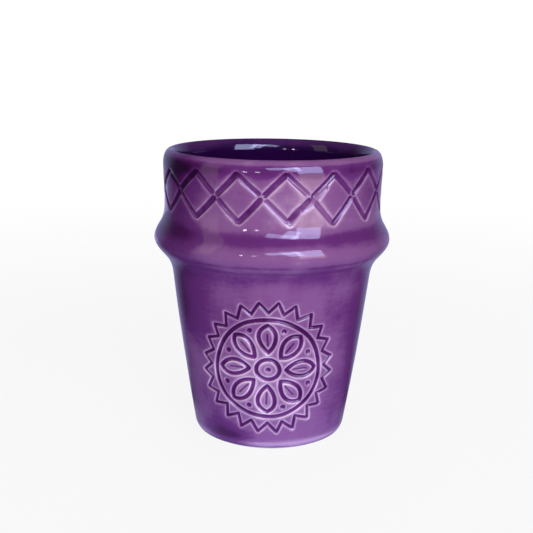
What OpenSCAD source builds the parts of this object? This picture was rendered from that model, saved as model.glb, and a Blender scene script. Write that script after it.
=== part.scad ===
// Handleless glazed cup: a tapering body on a flat foot, a bulging ring, and an upright collar.
// One fired clay body carries three coats of glaze: outside, inside, and in the recess of the foot.
// The cup stands on its foot at z = 0, its axis is Z and its front faces -Y.

/* [Cup] */
// Height of the fired clay from the table to the top of the lip
body_h = 104.6; // [98:0.2:112]
// Radius of the rounded corner between the foot's face and the body
foot_corner = 5; // [4:0.25:6]
// Diameter of the body where it leaves the foot's corner
base_d = 55.2; // [52:0.2:60]
// Diameter of the body where it begins to swell into the ring
neck_d = 71.2; // [68:0.2:74]
// Diameter across the crest of the ring
ring_d = 84.7; // [82:0.1:88]
// Diameter at the waist between the ring and the collar
waist_d = 77.1; // [75:0.1:79]
// Diameter of the collar just under the lip
mouth_d = 77.9; // [76:0.1:81]

/* [Heights and leans] */
// Height of the collar, from the waist to the top of the lip
collar_h = 18.6; // [17:0.2:21]
// Height from the crest of the ring up to the waist
ring_over_h = 12.6; // [11:0.2:14]
// Height from the neck up to the crest of the ring
ring_under_h = 13.4; // [12:0.2:15]
// Lean of the body's side just above the foot's corner, in degrees from upright
foot_lean = 9.5; // [8:0.25:11]
// Lean of the body's side at the neck, in degrees from upright
neck_lean = 6.7; // [5:0.1:8]

/* [Walls] */
// Thickness of the collar's wall, which is also the width of the lip
collar_wall = 4.2; // [3.4:0.1:5]
// Thickness of the wall at the crest of the ring
ring_wall = 5.6; // [5:0.1:6.4]
// Thickness of the wall at the neck
neck_wall = 4.3; // [3.6:0.1:5]
// Thickness of the wall just above the floor
base_wall = 5; // [4.2:0.1:6]
// Thickness of the floor
floor_t = 5; // [4:0.25:6.5]
// Radius of the corner between the floor and the wall, inside
floor_corner = 7; // [5:0.5:9]
// Height of the rounded lip above the collar
lip_h = 4.4; // [3.6:0.1:5.4]

/* [Foot] */
// Width of the flat ring that the cup stands on
foot_ring_w = 5; // [4:0.25:6]
// Depth of the recess inside the standing ring
recess_depth = 2; // [1.5:0.25:2.5]
// Width of the slope round the recess
recess_slope_w = 1.2; // [0.8:0.1:1.6]

/* [Glaze] */
// Thickness of the coat outside
outer_glaze_t = 0.4; // [0.3:0.05:0.6]
// Thickness of the coat inside
liner_glaze_t = 0.4; // [0.3:0.05:0.6]
// Thickness of the coat in the recess of the foot
base_glaze_t = 0.3; // [0.2:0.05:0.5]
// Height above the table at which the coat outside begins
glaze_line_z = 1.2; // [0.8:0.1:2]

/* [Hidden] */
// Facets of a full turn, and straight pieces in each curved stretch of the profile
$fn = 120;
curve_steps = 10;

// Radii
base_r = base_d / 2;
neck_r = neck_d / 2;
ring_r = ring_d / 2;
waist_r = waist_d / 2;
mouth_r = mouth_d / 2;
foot_out_r = base_r - foot_corner * cos(foot_lean);
foot_in_r = foot_out_r - foot_ring_w;

// Heights
base_z = foot_corner * (1 - sin(foot_lean));
lip_z = body_h - lip_h;
floor_z = recess_depth + floor_t;
floor_corner_z = floor_z + floor_corner;
waist_z = body_h - collar_h;
ring_z = waist_z - ring_over_h;
neck_z = ring_z - ring_under_h;

// Where the ring's two sides are steepest, as shares of the way to the crest in height and in
// radius, and how much steeper they are there than on average
ring_under_shares = [0.59, 0.5];
ring_over_shares = [0.62, 0.48];
ring_under_steep_share = 1.8;
ring_over_steep_share = 2;
// How far down the recess's slope its coat reaches
base_glaze_reach_share = 0.5;

// Stations of the profile: height, radius and slope
base_st = [base_z, base_r, tan(foot_lean)];
neck_st = [neck_z, neck_r, tan(neck_lean)];
crest_st = [ring_z, ring_r, 0];
waist_st = [waist_z, waist_r, 0];
mouth_st = [lip_z, mouth_r, 0];
under_st = ring_side(neck_st, crest_st, ring_under_shares, ring_under_steep_share);
over_st = ring_side(waist_st, crest_st, ring_over_shares, ring_over_steep_share);
in_mouth_st = [lip_z, mouth_r - collar_wall, 0];
in_waist_st = [waist_z, waist_r - collar_wall, 0];
in_crest_st = [ring_z, ring_r - ring_wall, 0];
in_neck_st = [neck_z, neck_r - neck_wall, tan(neck_lean)];
in_base_z = floor_corner_z - floor_corner * sin(foot_lean);
in_base_st = [in_base_z, base_r + (in_base_z - base_z) * tan(foot_lean) - base_wall, tan(foot_lean)];

// Station on one side of the ring, between a low station and the crest
function ring_side(low, crest, shares, steep) =
    let (rise = crest[0] - low[0],
         swell = crest[1] - low[1])
    [low[0] + rise * shares[0], low[1] + swell * shares[1], steep * swell / rise];

// Point [radius, height] of the smooth curve from station a to station b, at share t of the way
function curve_point(a, b, t) =
    let (run = b[0] - a[0],
         eased = t * t * (3 - 2 * t))
    [a[1] + (b[1] - a[1]) * eased + run * t * (1 - t) * (a[2] * (1 - t) - b[2] * t),
     a[0] + run * t];

// The curve through a list of stations, without its last point
function curve(stations) =
    [for (s = [0 : len(stations) - 2], i = [0 : curve_steps - 1])
        curve_point(stations[s], stations[s + 1], i / curve_steps)];

// An arc of an ellipse with its centre and half axes, from one angle to another, without its last point
function arc(centre, half, from, to) =
    [for (i = [0 : curve_steps - 1])
        let (a = from + (to - from) * i / curve_steps)
        [centre[0] + half[0] * cos(a), centre[1] + half[1] * sin(a)]];

// The foot's corner, in two stretches that meet where the glaze begins
foot_centre = [foot_out_r, foot_corner];
foot_half = [foot_corner, foot_corner];
glaze_angle = asin(glaze_line_z / foot_corner - 1);
bare_foot_pts = arc(foot_centre, foot_half, -90, glaze_angle);

// The side that is glazed, from the foot up to the top of the lip
lip_centre = [mouth_r - collar_wall / 2, lip_z];
lip_half = [collar_wall / 2, lip_h];
outside_pts = concat(
    arc(foot_centre, foot_half, glaze_angle, -foot_lean),
    curve([base_st, neck_st, under_st, crest_st, over_st, waist_st, mouth_st]),
    arc(lip_centre, lip_half, 0, 90)
);

// The side that is lined, from the top of the lip down to the middle of the floor
floor_centre = [in_base_st[1] - floor_corner * cos(foot_lean), floor_corner_z];
inside_pts = concat(
    arc(lip_centre, lip_half, 90, 180),
    curve([in_mouth_st, in_waist_st, in_crest_st, in_neck_st, in_base_st]),
    arc(floor_centre, [floor_corner, floor_corner], -foot_lean, -90),
    [[floor_centre[0], floor_z], [0, floor_z]]
);
glazed_pts = concat(outside_pts, inside_pts);
lip_top = len(outside_pts);
last = len(glazed_pts) - 1;

// Unit direction that points out of the clay at point i of an open outline
function outward(pts, i) =
    let (way = pts[min(i + 1, len(pts) - 1)] - pts[max(i - 1, 0)])
    [way[1], -way[0]] / norm(way);

// Thickness of the coat at point i: it passes from one coat to the other over the lip
function coat_t(i) =
    let (share = min(max((i - lip_top) / (2 * curve_steps) + 1 / 2, 0), 1))
    outer_glaze_t + (liner_glaze_t - outer_glaze_t) * share;

coat_pts = [for (i = [0 : last]) glazed_pts[i] + coat_t(i) * outward(glazed_pts, i)];

// Outline of the coat that lies on the glazed side from point a to point b
function coat_outline(a, b) =
    concat([for (i = [a : b]) glazed_pts[i]], [for (i = [b : -1 : a]) coat_pts[i]]);

// The recess of the foot: its roof's edge and the line where its coat ends
recess_r = foot_in_r - recess_slope_w;
recess_edge = [recess_r, recess_depth];
recess_way = [recess_slope_w, -recess_depth];
base_glaze_end = recess_edge + recess_way * base_glaze_reach_share;
recess_inward = [-recess_depth, -recess_slope_w] / norm(recess_way);
// The coat's own corner, where its roof and its slope meet
base_coat_corner = [recess_r - base_glaze_t * tan(atan2(recess_depth, recess_slope_w) / 2),
                    recess_depth - base_glaze_t];

// The fired clay: thrown body, ring, collar, lip and foot in one piece
module clay_body() {
    color("#b9a9a2")
    rotate_extrude()
        polygon(concat(
            [[0, recess_depth], recess_edge, [foot_in_r, 0]],
            bare_foot_pts,
            glazed_pts
        ));
}

// The coat outside, from just above the foot to the top of the lip
module outer_glaze() {
    color("#6d3b86")
    rotate_extrude()
        polygon(coat_outline(0, lip_top));
}

// The coat inside, from the top of the lip to the middle of the floor
module liner_glaze() {
    color("#3b1150")
    rotate_extrude()
        polygon(coat_outline(lip_top, last));
}

// The coat in the recess of the foot, clear of the table
module base_glaze() {
    color("#5b2c74")
    rotate_extrude()
        polygon([
            [0, recess_depth],
            [0, recess_depth - base_glaze_t],
            base_coat_corner,
            base_glaze_end + recess_inward * base_glaze_t,
            base_glaze_end,
            recess_edge
        ]);
}

clay_body();
outer_glaze();
liner_glaze();
base_glaze();
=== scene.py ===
"""Looks of a handleless glazed cup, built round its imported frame.

The cup is one fired clay body under three coats of glaze. Its collar carries a band of crossing
cuts and its front a rosette, both cut into the damp clay before it was glazed. Lengths are
in millimetres and become metres where a mesh is made. The front faces -Y, and an angle round the
cup is counted from there towards +X.
"""

import logging
import math
from collections.abc import Iterable, Iterator, Mapping, Sequence
from dataclasses import dataclass, field
from enum import Enum
from functools import partial

import bpy
import numpy as np
from mathutils import Euler, Matrix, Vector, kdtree


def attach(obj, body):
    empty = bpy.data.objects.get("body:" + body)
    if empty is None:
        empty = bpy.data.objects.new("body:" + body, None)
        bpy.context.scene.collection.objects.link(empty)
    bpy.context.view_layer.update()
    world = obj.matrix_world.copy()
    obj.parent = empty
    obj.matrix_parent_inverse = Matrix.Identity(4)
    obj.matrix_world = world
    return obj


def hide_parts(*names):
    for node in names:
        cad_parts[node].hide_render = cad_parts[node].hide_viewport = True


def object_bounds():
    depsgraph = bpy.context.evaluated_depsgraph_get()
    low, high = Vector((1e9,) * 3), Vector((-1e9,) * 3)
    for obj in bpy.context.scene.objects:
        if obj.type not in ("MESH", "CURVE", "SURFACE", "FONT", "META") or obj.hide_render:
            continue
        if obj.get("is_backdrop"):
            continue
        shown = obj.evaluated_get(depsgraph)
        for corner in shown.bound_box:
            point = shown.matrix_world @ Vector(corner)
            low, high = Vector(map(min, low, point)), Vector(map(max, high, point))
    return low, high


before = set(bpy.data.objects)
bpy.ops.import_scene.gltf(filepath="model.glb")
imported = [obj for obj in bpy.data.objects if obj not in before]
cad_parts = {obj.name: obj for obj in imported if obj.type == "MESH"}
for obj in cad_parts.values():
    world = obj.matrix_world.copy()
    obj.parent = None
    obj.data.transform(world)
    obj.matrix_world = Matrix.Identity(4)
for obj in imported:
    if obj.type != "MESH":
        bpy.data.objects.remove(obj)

CAD_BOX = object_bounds()
BODY = "root"
MM = 0.001
FULL_TURN = 2 * math.pi
# An edge stays sharp where its faces turn by more degrees than this
CREASE = 62.0
# A smaller radius is a point on the axis
ON_AXIS = 1e-6

# Kinds of node that come again and again, and their settings
MATH, RANGE, MIX = "ShaderNodeMath", "ShaderNodeMapRange", "ShaderNodeMix"
EASED = {"interpolation_type": "SMOOTHSTEP"}
COLOURS = {"data_type": "RGBA"}

Point = tuple[float, float, float]
# Three numbers whose meanings the class that holds them explains
Triple = tuple[float, float, float]

log = logging.getLogger("cup")


def linear(hex_colour: str) -> tuple[float, float, float, float]:
    """Turn an sRGB hex colour into linear RGB with full alpha.

    Args:
        hex_colour: A colour such as "#6d3b86".

    Returns:
        Red, green, blue and alpha.
    """
    parts = [int(hex_colour[i:i + 2], 16) / 255 for i in (1, 3, 5)]
    return (*[p / 12.92 if p <= 0.04045 else ((p + 0.055) / 1.055) ** 2.4 for p in parts], 1.0)


def fill_inputs(node: bpy.types.Node, inputs: Mapping[str | int, object] | Sequence[object]) -> None:
    """Give each input of a node a value or a link.

    Args:
        node: The node.
        inputs: Input name or number to a value, to an output socket to link from, or to a node,
            which is linked by its first output in use. A sequence fills the inputs in order.
    """
    for key, value in inputs.items() if isinstance(inputs, Mapping) else enumerate(inputs):
        if isinstance(value, bpy.types.Node):
            value = next(output for output in value.outputs if output.enabled)
        if isinstance(value, bpy.types.NodeSocket):
            node.id_data.links.new(value, node.inputs[key])
        else:
            node.inputs[key].default_value = value


def add_node(
    tree: bpy.types.NodeTree,
    kind: str,
    inputs: Mapping[str | int, object] | Sequence[object] = (),
    **settings: object,
) -> bpy.types.Node:
    """Add a node with its settings, and give its inputs their values and links.

    Args:
        tree: The node tree that gets the node.
        kind: The node's type.
        inputs: The inputs, as fill_inputs takes them.
        **settings: The node's own properties.

    Returns:
        The new node.
    """
    node = tree.nodes.new(kind)
    for key, value in settings.items():
        setattr(node, key, value)
    fill_inputs(node, inputs)
    return node


def new_object(name: str, data: bpy.types.ID) -> bpy.types.Object:
    """Make an object and link it to the scene.

    Args:
        name: Its name.
        data: Its mesh, light or camera.

    Returns:
        The object.
    """
    made = bpy.data.objects.new(name, data)
    bpy.context.scene.collection.objects.link(made)
    return made


def new_material(name: str) -> tuple[bpy.types.Material, bpy.types.Node, partial]:
    """Make a material with nodes.

    Args:
        name: Its name.

    Returns:
        The material, its Principled shader, and add_node for its tree.
    """
    made = bpy.data.materials.new(name)
    made.use_nodes = True
    return made, made.node_tree.nodes["Principled BSDF"], partial(add_node, made.node_tree)


def new_geometry_tree(
    name: str, inputs: Mapping[str, str], output: str
) -> tuple[bpy.types.NodeTree, partial, bpy.types.NodeOutputs]:
    """Start a Geometry Nodes tree with named inputs.

    Args:
        name: Its name.
        inputs: Name of each input, and what its socket holds.
        output: Name of the geometry that comes out.

    Returns:
        The tree, add_node for it, and the sockets of its inputs.
    """
    tree = bpy.data.node_groups.new(name, "GeometryNodeTree")
    for title, kind in inputs.items():
        tree.interface.new_socket(title, in_out="INPUT", socket_type=f"NodeSocket{kind}")
    tree.interface.new_socket(output, in_out="OUTPUT", socket_type="NodeSocketGeometry")
    add = partial(add_node, tree)
    return tree, add, add("NodeGroupInput").outputs


def mesh_object(
    name: str,
    points: np.ndarray,
    edges: Sequence[Sequence[int]] = (),
    faces: Sequence[Sequence[int]] = (),
) -> bpy.types.Object:
    """Make an object from points in millimetres, with its place in its mesh.

    Args:
        name: Name of the object and its mesh.
        points: An array of x, y and z.
        edges: Pairs of point numbers.
        faces: Point numbers of each face, seen anticlockwise from outside.

    Returns:
        The object, linked to the scene.
    """
    mesh = bpy.data.meshes.new(name)
    mesh.from_pydata((np.asarray(points) * MM).tolist(), list(edges), list(faces))
    mesh.update()
    return new_object(name, mesh)


def bake_nodes(
    holder: bpy.types.Object, tree: bpy.types.NodeTree, values: Mapping[str, object]
) -> bpy.types.Mesh:
    """Run a Geometry Nodes tree on an object and return the plain mesh that it makes.

    Args:
        holder: The object that the tree starts from.
        tree: The tree.
        values: Value of each named input.

    Returns:
        A new mesh. The modifier is gone from the holder.
    """
    modifier = holder.modifiers.new(tree.name, "NODES")
    modifier.node_group = tree
    sockets = {
        item.name: item.identifier
        for item in tree.interface.items_tree
        if item.item_type == "SOCKET" and item.in_out == "INPUT"
    }
    for name, value in values.items():
        modifier[sockets[name]] = value
    holder.update_tag()
    graph = bpy.context.evaluated_depsgraph_get()
    baked = bpy.data.meshes.new_from_object(holder.evaluated_get(graph))
    holder.modifiers.remove(modifier)
    return baked


def remove(objects: Iterable[bpy.types.Object]) -> None:
    """Delete construction objects that aren't part of the cup.

    Args:
        objects: The objects, which are deleted with their meshes.
    """
    for item in objects:
        mesh = item.data
        bpy.data.objects.remove(item)
        if mesh.users == 0:
            bpy.data.meshes.remove(mesh)


def on_turn(radius: float, angle: float, height: float) -> Point:
    """Point at a radius and a height, and at an angle round the cup in radians."""
    return (radius * math.sin(angle), -radius * math.cos(angle), height)


@dataclass(frozen=True)
class Station:
    """A point of the profile that the curve passes through, with its slope in radius per height."""

    height: float
    radius: float
    slope: float = 0.0


def curve(stations: Sequence[Station], steps: int) -> np.ndarray:
    """Sample the smooth curve through a row of stations.

    Args:
        stations: The stations in order.
        steps: Samples in each stretch.

    Returns:
        Radius and height of each sample, without the last station's.
    """
    t = np.arange(steps) / steps
    eased = t * t * (3 - 2 * t)
    pieces = []
    for a, b in zip(stations, stations[1:]):
        run = b.height - a.height
        lean = run * t * (1 - t) * (a.slope * (1 - t) - b.slope * t)
        radius = a.radius + (b.radius - a.radius) * eased + lean
        pieces.append(np.column_stack([radius, a.height + run * t]))
    return np.vstack(pieces)


def arc(
    centre: Sequence[float], half: Sequence[float], start: float, end: float, steps: int
) -> np.ndarray:
    """Sample an arc of an ellipse.

    Args:
        centre: Radius and height of its centre.
        half: Its half axes.
        start: Angle at which it starts, in degrees.
        end: Angle at which it ends.
        steps: How many samples it gets.

    Returns:
        Radius and height of each sample, without the last point.
    """
    angle = np.radians(start + (end - start) * np.arange(steps) / steps)
    return np.column_stack([centre[0] + half[0] * np.cos(angle), centre[1] + half[1] * np.sin(angle)])


def bezier(points: Sequence[Sequence[float]], steps: int) -> np.ndarray:
    """Sample a cubic curve.

    Args:
        points: Its four points.
        steps: How many steps it gets.

    Returns:
        steps + 1 points, with both ends.
    """
    a, b, c, d = np.asarray(points, dtype=float)
    t = np.linspace(0, 1, steps + 1)[:, None]
    return a * (1 - t) ** 3 + 3 * b * t * (1 - t) ** 2 + 3 * c * t * t * (1 - t) + d * t ** 3


def outward(points: np.ndarray) -> np.ndarray:
    """Unit directions that point out of a solid that lies to the left of an open outline."""
    way = np.gradient(points, axis=0)
    return np.column_stack([way[:, 1], -way[:, 0]]) / np.linalg.norm(way, axis=1, keepdims=True)


def along(points: np.ndarray) -> np.ndarray:
    """Distance of each point from the first one along the line through them."""
    steps = np.linalg.norm(np.diff(points, axis=0), axis=1)
    return np.concatenate([[0.0], np.cumsum(steps)])


def resample(points: np.ndarray, count: int) -> np.ndarray:
    """Space a line's points evenly.

    Args:
        points: The line.
        count: How many steps it gets.

    Returns:
        count + 1 points.
    """
    length = along(points)
    places = np.linspace(0, length[-1], count + 1)
    return np.column_stack([np.interp(places, length, column) for column in points.T])


@dataclass(frozen=True)
class CupForm:
    """The turned form of the cup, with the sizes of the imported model.

    The three shares of each side of the ring say how far up and how far out it is steepest, and
    how much steeper it is there than on average.
    """

    body_h: float = 104.6
    foot_corner: float = 5.0
    base_r: float = 27.6
    neck_r: float = 35.6
    ring_r: float = 42.35
    waist_r: float = 38.55
    mouth_r: float = 38.95
    collar_h: float = 18.6
    ring_over_h: float = 12.6
    ring_under_h: float = 13.4
    foot_lean: float = 9.5
    neck_lean: float = 6.7
    collar_wall: float = 4.2
    ring_wall: float = 5.6
    neck_wall: float = 4.3
    base_wall: float = 5.0
    floor_t: float = 5.0
    floor_corner: float = 7.0
    lip_h: float = 4.4
    foot_ring_w: float = 5.0
    recess_depth: float = 2.0
    recess_slope_w: float = 1.2
    glaze_t: float = 0.4
    glaze_line: float = 1.2
    roll_h: float = 0.7
    under_shares: Triple = (0.59, 0.5, 1.8)
    over_shares: Triple = (0.62, 0.48, 2.0)
    steps: int = 48

    @property
    def lip_z(self) -> float:
        """Height at which the lip begins to round over."""
        return self.body_h - self.lip_h

    @property
    def waist_z(self) -> float:
        """Height of the waist between ring and collar."""
        return self.body_h - self.collar_h

    @property
    def ring_z(self) -> float:
        """Height of the ring's crest."""
        return self.waist_z - self.ring_over_h

    @property
    def neck_z(self) -> float:
        """Height of the neck under the ring."""
        return self.ring_z - self.ring_under_h

    @property
    def base_z(self) -> float:
        """Height at which the foot's corner ends and the side begins."""
        return self.foot_corner * (1 - math.sin(math.radians(self.foot_lean)))

    @property
    def foot_slope(self) -> float:
        """Slope of the side just above the foot's corner."""
        return math.tan(math.radians(self.foot_lean))

    @property
    def neck_slope(self) -> float:
        """Slope of the side at the neck."""
        return math.tan(math.radians(self.neck_lean))

    @property
    def foot_out_r(self) -> float:
        """Outer radius of the flat ring that the cup stands on."""
        return self.base_r - self.foot_corner * math.cos(math.radians(self.foot_lean))

    @property
    def foot_in_r(self) -> float:
        """Inner radius of the flat ring that the cup stands on."""
        return self.foot_out_r - self.foot_ring_w

    @property
    def recess_edge(self) -> np.ndarray:
        """Radius and height of the edge where the recess's roof meets its slope."""
        return np.array([self.foot_in_r - self.recess_slope_w, self.recess_depth])

    @property
    def lip_middle(self) -> float:
        """Radius of the middle of the lip."""
        return self.mouth_r - self.collar_wall / 2

    @property
    def glaze_angle(self) -> float:
        """Angle in degrees at which the glaze begins on the foot's corner."""
        return math.degrees(math.asin(self.glaze_line / self.foot_corner - 1))

    def corner(self, start: float, end: float) -> np.ndarray:
        """Part of the foot's rounded corner between two angles in degrees."""
        return arc((self.foot_out_r, self.foot_corner), (self.foot_corner,) * 2, start, end, self.steps)

    def lip(self, start: float, end: float) -> np.ndarray:
        """Part of the lip's rounding between two angles in degrees."""
        return arc((self.lip_middle, self.lip_z), (self.collar_wall / 2, self.lip_h), start, end, self.steps)

    def ring_side(self, low: Station, crest: Station, shares: Triple) -> Station:
        """Find the station where one side of the ring is steepest.

        Args:
            low: The station at the side's foot.
            crest: The ring's crest.
            shares: The side's three shares.

        Returns:
            The station between them.
        """
        rise, swell = crest.height - low.height, crest.radius - low.radius
        up, out, steeper = shares
        return Station(low.height + rise * up, low.radius + swell * out, steeper * swell / rise)

    def clay_outside(self) -> np.ndarray:
        """Trace the clay's side from where the glaze begins up to the top of the lip.

        Returns:
            Radius and height of each point.
        """
        neck = Station(self.neck_z, self.neck_r, self.neck_slope)
        crest, waist = Station(self.ring_z, self.ring_r), Station(self.waist_z, self.waist_r)
        stations = [
            Station(self.base_z, self.base_r, self.foot_slope),
            neck,
            self.ring_side(neck, crest, self.under_shares),
            crest,
            self.ring_side(waist, crest, self.over_shares),
            waist,
            Station(self.lip_z, self.mouth_r),
        ]
        return np.vstack([
            self.corner(self.glaze_angle, -self.foot_lean),
            curve(stations, self.steps),
            self.lip(0, 90),
            [[self.lip_middle, self.body_h]],
        ])

    def clay_inside(self) -> np.ndarray:
        """Trace the clay's side from the top of the lip down to the middle of the floor.

        Returns:
            Radius and height of each point.
        """
        lean = math.radians(self.foot_lean)
        floor_z = self.recess_depth + self.floor_t
        corner_z = floor_z + self.floor_corner
        wall_z = corner_z - self.floor_corner * math.sin(lean)
        wall_r = self.base_r + (wall_z - self.base_z) * self.foot_slope - self.base_wall
        centre = (wall_r - self.floor_corner * math.cos(lean), corner_z)
        stations = [
            Station(self.lip_z, self.mouth_r - self.collar_wall),
            Station(self.waist_z, self.waist_r - self.collar_wall),
            Station(self.ring_z, self.ring_r - self.ring_wall),
            Station(self.neck_z, self.neck_r - self.neck_wall, self.neck_slope),
            Station(wall_z, wall_r, self.foot_slope),
        ]
        return np.vstack([
            self.lip(90, 180),
            curve(stations, self.steps),
            arc(centre, (self.floor_corner,) * 2, -self.foot_lean, -90, self.steps),
            [[centre[0], floor_z], [0.0, floor_z]],
        ])

    def glaze_outside(self) -> np.ndarray:
        """Trace the outside coat's skin, from a rounded roll on the clay to the lip's top.

        Returns:
            Radius and height of each point.
        """
        clay = self.clay_outside()
        rise = np.clip(along(clay) / self.roll_h, 0, 1)
        thickness = self.glaze_t * np.sqrt(1 - (1 - rise) ** 2)
        normal = outward(clay)
        normal[-1] = (0.0, 1.0)
        return clay + normal * thickness[:, None]

    def glaze_inside(self) -> np.ndarray:
        """Trace the lining's skin, from the lip's top to the middle of the floor.

        Returns:
            Radius and height of each point.
        """
        clay = self.clay_inside()
        normal = outward(clay)
        normal[0] = normal[-1] = (0.0, 1.0)
        return clay + normal * self.glaze_t


class CupSurface:
    """The glazed outside as a surface that cuts are laid on."""

    def __init__(self, form: CupForm) -> None:
        """Keep the skin's profile for look-ups by height."""
        self.skin = form.glaze_outside()

    def radius(self, height: np.ndarray) -> np.ndarray:
        """Radius of the skin at a height."""
        return np.interp(height, self.skin[:, 1], self.skin[:, 0])

    def wrap(self, across: np.ndarray, height: np.ndarray) -> np.ndarray:
        """Lay a flat drawing on the cup.

        Args:
            across: Distance round the cup from the middle of the front.
            height: Height above the table.

        Returns:
            An array of x, y and z.
        """
        radius = self.radius(height)
        angle = across / radius
        return np.column_stack([radius * np.sin(angle), -radius * np.cos(angle), height])


@dataclass(frozen=True)
class Gouge:
    """A tool that cuts the damp clay.

    Width and depth are the cut's under the glaze. Halo is how far the thin, pale glaze reaches
    beside it. Pool and pale say how dark the glaze is in the cut and how pale beside it.
    """

    width: float
    depth: float
    halo: float
    pool: float
    pale: float


class Tool(Enum):
    """The tools that cut this cup."""

    BAND = Gouge(width=2.6, depth=0.65, halo=2.2, pool=0.55, pale=0.5)
    SOFT_BAND = Gouge(width=2.5, depth=0.45, halo=2.2, pool=0.28, pale=0.42)
    LINE = Gouge(width=1.85, depth=0.6, halo=1.8, pool=0.72, pale=0.8)
    RAY = Gouge(width=1.45, depth=0.52, halo=1.6, pool=0.68, pale=0.65)
    NEEDLE = Gouge(width=0.95, depth=0.25, halo=0.9, pool=0.5, pale=0.25)
    BALL = Gouge(width=2.2, depth=0.5, halo=1.2, pool=0.7, pale=0.4)
    SCRAPE = Gouge(width=3.6, depth=0.45, halo=0.8, pool=0.0, pale=0.5)

    @property
    def label(self) -> str:
        """The tool's name in plain words."""
        return self.name.replace("_", " ").capitalize()


GOUGE_SIZES = ("width", "depth", "halo")
GOUGE_SHARES = ("pool", "pale")


@dataclass
class Drawing:
    """Flat lines of a decoration, by tool. Each line is an array of distance across and height."""

    lines: dict[Tool, list[np.ndarray]] = field(default_factory=dict)

    def add(self, tool: Tool, line: np.ndarray) -> None:
        """Add one line for a tool to follow."""
        self.lines.setdefault(tool, []).append(np.asarray(line, dtype=float))

    def every(self) -> Iterator[np.ndarray]:
        """Each line in turn, whatever its tool."""
        return (line for lines in self.lines.values() for line in lines)


def polyline_object(name: str, lines: Sequence[np.ndarray]) -> bpy.types.Object:
    """Make an object of open lines.

    Args:
        name: Its name.
        lines: Arrays of x and z, or of x, y and z.

    Returns:
        The object.
    """
    points, edges = [], []
    for line in lines:
        first = len(points)
        flat = line.shape[1] == 2
        points.extend((p[0], 0.0, p[1]) if flat else tuple(p) for p in line)
        edges.extend((first + i, first + i + 1) for i in range(len(line) - 1))
    return mesh_object(name, np.array(points), edges)


def row_tree() -> bpy.types.NodeTree:
    """Build the tree that sets copies of a motif in a row along a path in the XZ plane.

    Returns:
        A tree with the inputs Path, Motif and Count. A copy stands at the middle of each of
        Count equal stretches of the path, with its own X along the path.
    """
    inputs = {"Path": "Geometry", "Motif": "Object", "Count": "Int"}
    tree, add, given = new_geometry_tree("Row of motifs", inputs, "Row")
    # With two points for each copy and one more, every second point is a stretch's middle
    ends = add(MATH, (given["Count"], 2.0, 1.0), operation="MULTIPLY_ADD")
    path = add("GeometryNodeMeshToCurve", {"Mesh": given["Path"]})
    places = add("GeometryNodeCurveToPoints", {"Curve": path, "Count": ends}, mode="COUNT")
    turn = add("FunctionNodeAlignRotationToVector", {"Vector": places.outputs["Tangent"]},
               axis="X", pivot_axis="Y")
    middle = add(MATH, (add("GeometryNodeInputIndex"), 2.0), operation="MODULO")
    motif = add("GeometryNodeObjectInfo", {"Object": given["Motif"]})
    copies = add("GeometryNodeInstanceOnPoints", {
        "Points": places,
        "Selection": middle,
        "Instance": motif.outputs["Geometry"],
        "Rotation": turn,
    })
    add("NodeGroupOutput", {"Row": add("GeometryNodeRealizeInstances", {"Geometry": copies})})
    return tree


class RowMaker:
    """Repeats a motif along a path with Geometry Nodes and returns the flat lines."""

    def __init__(self) -> None:
        """Build the tree once."""
        self.tree = row_tree()

    def repeat(self, motif: Sequence[np.ndarray], path: np.ndarray, count: int) -> list[np.ndarray]:
        """Set copies of a motif along a path.

        Args:
            motif: The motif's lines, centred on the origin.
            path: Points of the path.
            count: Number of copies.

        Returns:
            One line for each line of each copy.
        """
        holder = polyline_object("row_path", [path])
        pattern = polyline_object("row_motif", motif)
        mesh = bake_nodes(holder, self.tree, {"Motif": pattern, "Count": count})
        points = np.array([v.co for v in mesh.vertices]) / MM
        flat = points[:, (0, 2)]
        sizes = [len(line) for line in motif] * count
        bpy.data.meshes.remove(mesh)
        remove([holder, pattern])
        return np.split(flat, np.cumsum(sizes)[:-1])


@dataclass(frozen=True)
class Stray:
    """A place where the hand made the band taller, as a share, and lower, by a length."""

    angle: float
    spread: float
    taller: float
    lower: float


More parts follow.
